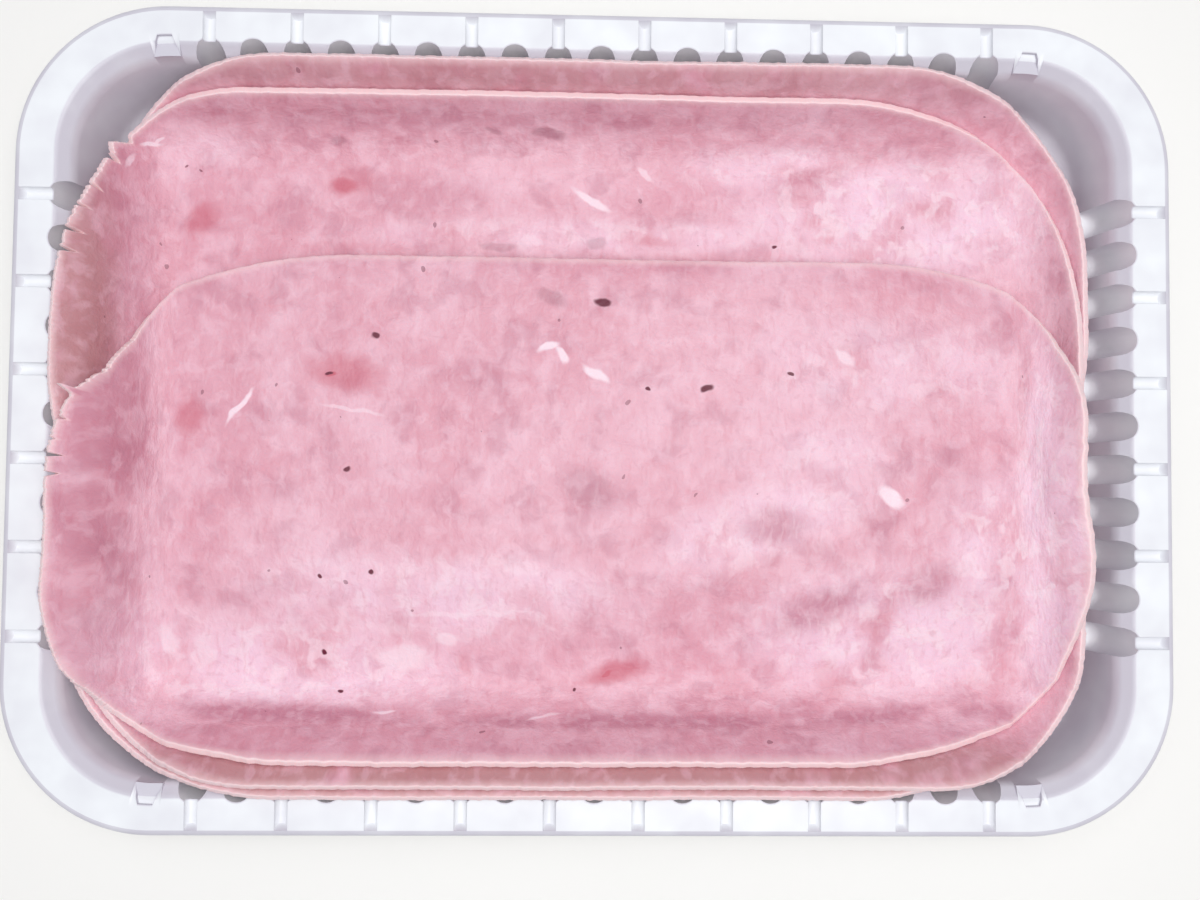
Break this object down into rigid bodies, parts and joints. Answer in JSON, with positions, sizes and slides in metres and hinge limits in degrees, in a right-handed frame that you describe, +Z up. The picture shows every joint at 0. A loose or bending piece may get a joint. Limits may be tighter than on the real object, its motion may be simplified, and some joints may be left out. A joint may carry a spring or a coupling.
{
  "type": "pack of sliced leg ham",
  "caption": "Shallow white plastic tray with a ribbed rim and fluted walls, holding thin overlapping slices of pressed leg ham whose edges curl up the walls.",
  "frame": {"origin": "on the surface it rests on, under the middle of the tray", "axes": "+X along the tray's long side to the right, +Y to the back, where the lower pair of slices lies, +Z up"},
  "size_m": [0.2278, 0.1608, 0.0254],
  "materials": {
    "tray_plastic": "satin white thermoformed sheet",
    "ham": "moist pink pressed ham, pale along the cut edges"
  },
  "bodies": {
    "root": {"tray": "tray_plastic", "slice_back_lower": "ham", "slice_back_upper": "ham", "slice_front_lowest": "ham", "slice_front_lower": "ham", "slice_front_top": "ham"}
  },
  "joints": []
}
